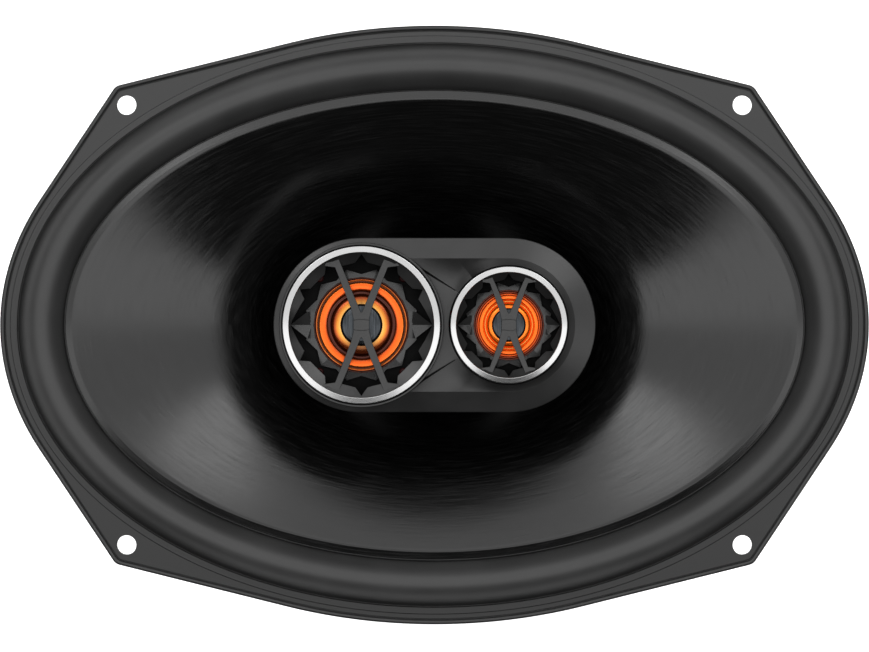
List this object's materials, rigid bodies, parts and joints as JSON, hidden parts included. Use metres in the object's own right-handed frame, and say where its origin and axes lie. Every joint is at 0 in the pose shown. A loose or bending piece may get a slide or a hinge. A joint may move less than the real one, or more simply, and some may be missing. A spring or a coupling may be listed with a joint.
{
  "type": "coaxial car speaker",
  "caption": "Oval coaxial car speaker with a flanged frame, half-roll surround, glossy black cone and a bridge pod holding chrome-ringed orange tweeters behind X-shaped guards.",
  "frame": {"origin": "centre of the four-hole pattern in the rear face of the metal mounting flange", "axes": "+Z out of the listening side along the speaker's axis, +X along the oval's long axis towards the small driver, +Y along the short axis, away from the terminals"},
  "size_m": [0.235, 0.162, 0.0924],
  "materials": {
    "basket_enamel": "satin black enamel on pressed steel",
    "gasket_foam": "matte closed-cell foam",
    "trim_plastic": "fine matte texture",
    "surround_rubber": "matte butyl rubber",
    "cone_film": "glossy with fine rings of brushing",
    "former_film": "amber film",
    "coil_wire": "lacquered copper winding",
    "solder_pad": "plain",
    "spider_cloth": "resin-set cotton weave",
    "plated_steel": "bright zinc",
    "ferrite": "ground dark grey ferrite",
    "boot_rubber": "satin moulded rubber",
    "black_plastic": "moulded black plastic",
    "terminal_board": "dark phenolic board",
    "brass_blade": "bare brass",
    "tinned_blade": "tinned",
    "tinsel_braid": "silvered braid",
    "capacitor_sleeve": "black shrink sleeve with aluminium ends",
    "wire_insulation": "red PVC",
    "pod_plastic": "smooth satin charcoal plastic",
    "chrome_plate": "polished chrome",
    "grille_plastic": "satin charcoal plastic",
    "star_plastic": "gloss black with charcoal facets",
    "screw_black": "black oxide",
    "plug_metal": "polished grey metal",
    "dome_film": "bright orange film",
    "neodymium": "nickel plated"
  },
  "bodies": {
    "frame": {"basket": "basket_enamel", "mounting_gasket": "gasket_foam", "trim_ring": "trim_plastic", "surround": "surround_rubber", "spider": "spider_cloth", "basket_rivets": "plated_steel", "top_plate": "plated_steel", "ferrite_magnet": "ferrite", "yoke": "plated_steel", "magnet_boot": "boot_rubber", "pod_post": "black_plastic", "post_washer": "plated_steel", "post_nut": "plated_steel", "terminal_block": "terminal_board", "positive_tab": "brass_blade", "negative_tab": "tinned_blade", "terminal_rivets": "plated_steel", "tinsel_leads": "tinsel_braid", "tweeter_capacitor": "capacitor_sleeve", "supertweeter_capacitor": "capacitor_sleeve", "capacitor_leads": "tinned_blade", "tweeter_wires": "wire_insulation", "pod_base": "black_plastic", "pod_screws": "screw_black", "pod_housing": "pod_plastic", "large_bezel": "chrome_plate", "large_grille": "grille_plastic", "large_star_plate": "star_plastic", "large_screws": "screw_black", "large_phase_plug": "plug_metal", "large_surround": "dome_film", "large_magnet_cup": "plated_steel", "large_magnet": "neodymium", "large_pole_disc": "plated_steel", "small_bezel": "chrome_plate", "small_grille": "grille_plastic", "small_star_plate": "star_plastic", "small_phase_plug": "plug_metal", "small_surround": "dome_film", "small_magnet_cup": "plated_steel", "small_magnet": "neodymium", "small_pole_disc": "plated_steel"},
    "cone_assembly": {"cone": "cone_film", "coil_former": "former_film", "voice_coil": "coil_wire", "lead_pads": "solder_pad"},
    "large_dome": {"large_diaphragm": "dome_film", "large_voice_coil": "coil_wire"},
    "small_dome": {"small_diaphragm": "dome_film", "small_voice_coil": "coil_wire"}
  },
  "joints": [
    {"name": "cone_travel", "type": "slide", "parent": "frame", "child": "cone_assembly", "axis": [0, 0, 1], "range_m": [-0.005, 0.005], "stiffness_N_per_m": 1500, "deforming": ["surround", "spider", "tinsel_leads"]},
    {"name": "large_dome_travel", "type": "slide", "parent": "frame", "child": "large_dome", "axis": [0, 0, 1], "range_m": [-0.0003, 0.0003], "stiffness_N_per_m": 500, "deforming": ["large_surround"]},
    {"name": "small_dome_travel", "type": "slide", "parent": "frame", "child": "small_dome", "axis": [0, 0, 1], "range_m": [-0.0002, 0.0002], "stiffness_N_per_m": 400, "deforming": ["small_surround"]}
  ]
}
